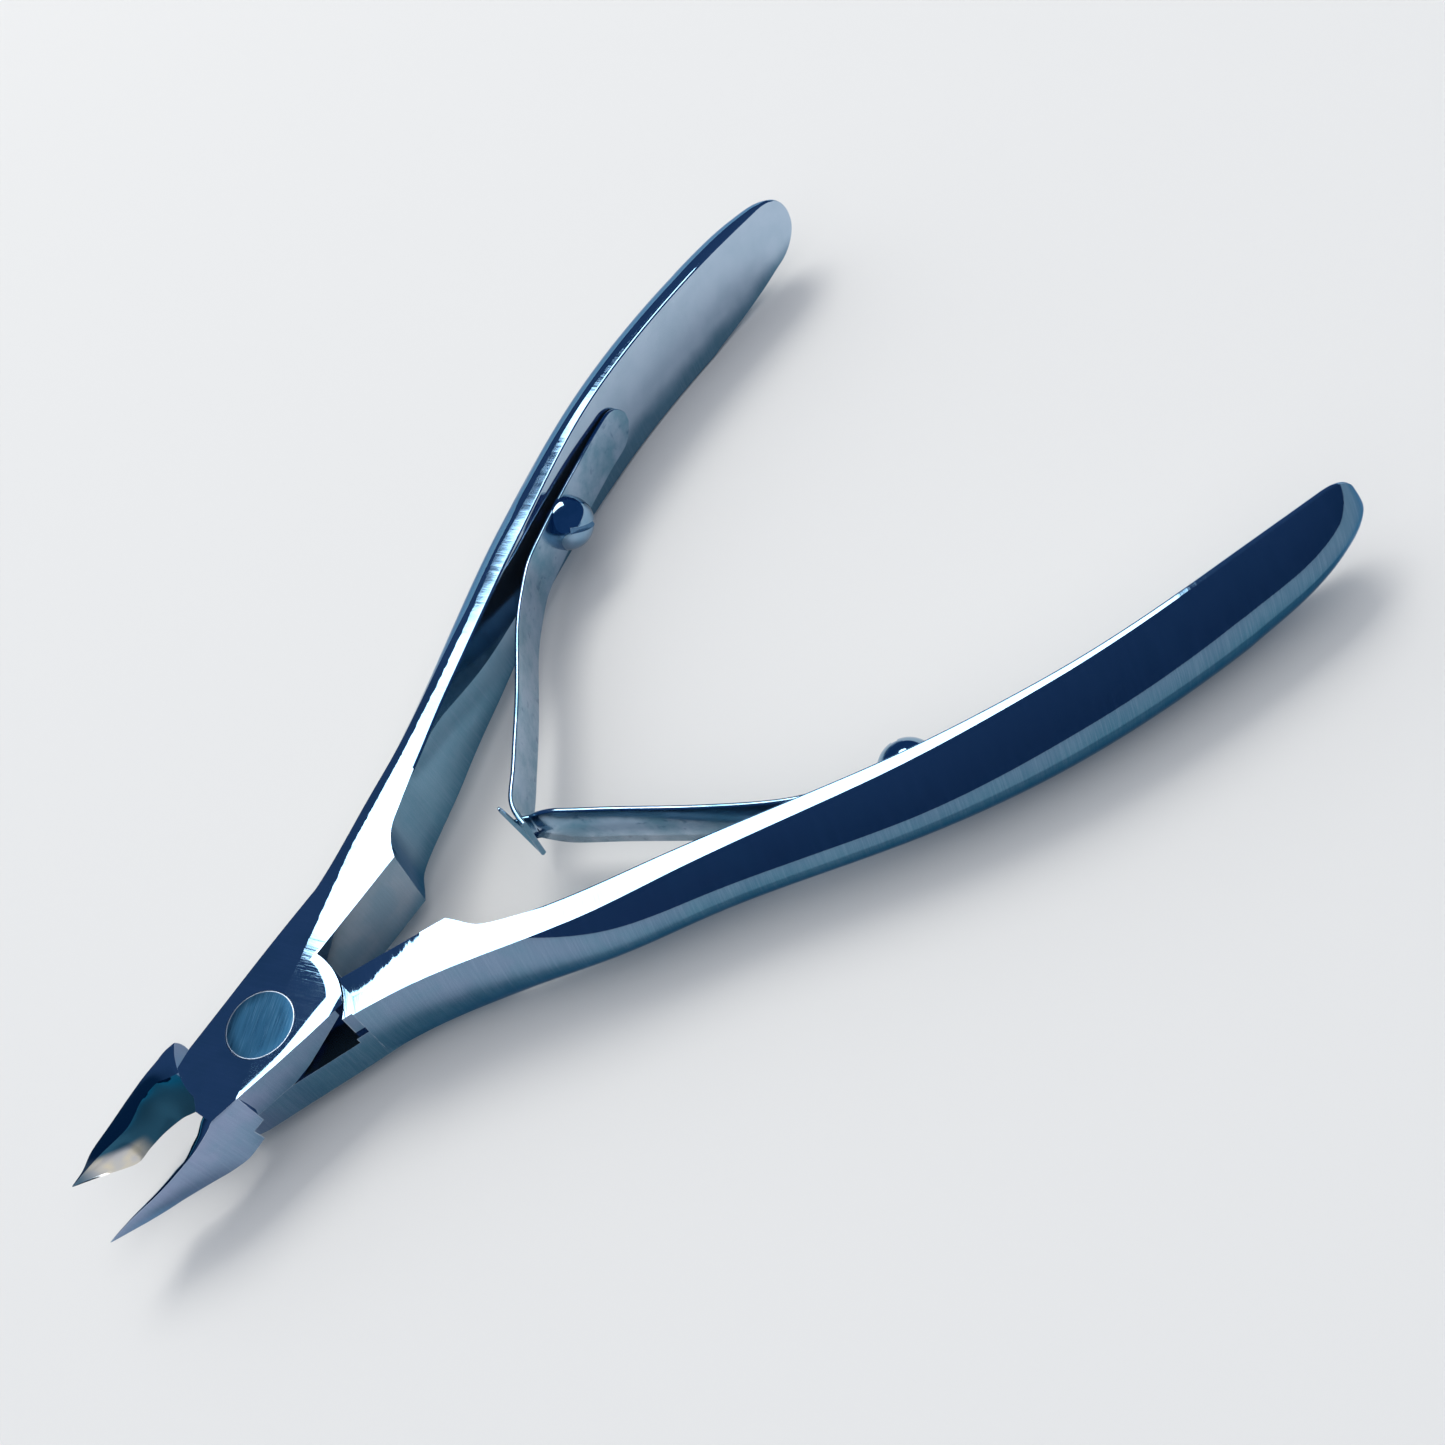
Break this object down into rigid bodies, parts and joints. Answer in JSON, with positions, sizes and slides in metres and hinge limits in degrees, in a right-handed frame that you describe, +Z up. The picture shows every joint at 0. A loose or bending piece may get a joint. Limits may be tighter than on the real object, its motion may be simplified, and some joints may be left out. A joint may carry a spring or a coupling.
{
  "type": "cuticle nipper",
  "caption": "Lap-joint cuticle nipper: crossed halves with hollow-ground jaws on a flush rivet, long curved handles held open by hooked leaf springs.",
  "frame": {"origin": "on the rivet's axis, in the flat lower face of the joint", "axes": "+X runs back to the handle ends, +Y towards the handle of the upper half, +Z up along the rivet"},
  "size_m": [0.1088, 0.0758, 0.0105],
  "materials": {
    "coated_steel": "mirror-polished dark blue coating over forged steel",
    "rivet_steel": "blue coating over a linished rivet head",
    "spring_steel": "satin blue-grey coating over spring sheet",
    "screw_steel": "polished blue coating"
  },
  "bodies": {
    "lower_half": {"half_lower_plate": "coated_steel", "joint_rivet": "rivet_steel", "leaf_spring_tongue": "spring_steel", "spring_screw_lower": "screw_steel"},
    "upper_half": {"half_upper_plate": "coated_steel", "leaf_spring_slotted": "spring_steel", "spring_screw_upper": "screw_steel"}
  },
  "joints": [
    {"name": "pivot", "type": "hinge", "parent": "lower_half", "child": "upper_half", "pos_m": [0, 0, 0.00345], "axis": [0, 0, 1], "range_deg": [-19.4, 0], "stiffness_Nm_per_rad": 1.2, "deforming": ["leaf_spring_slotted", "leaf_spring_tongue"]}
  ]
}
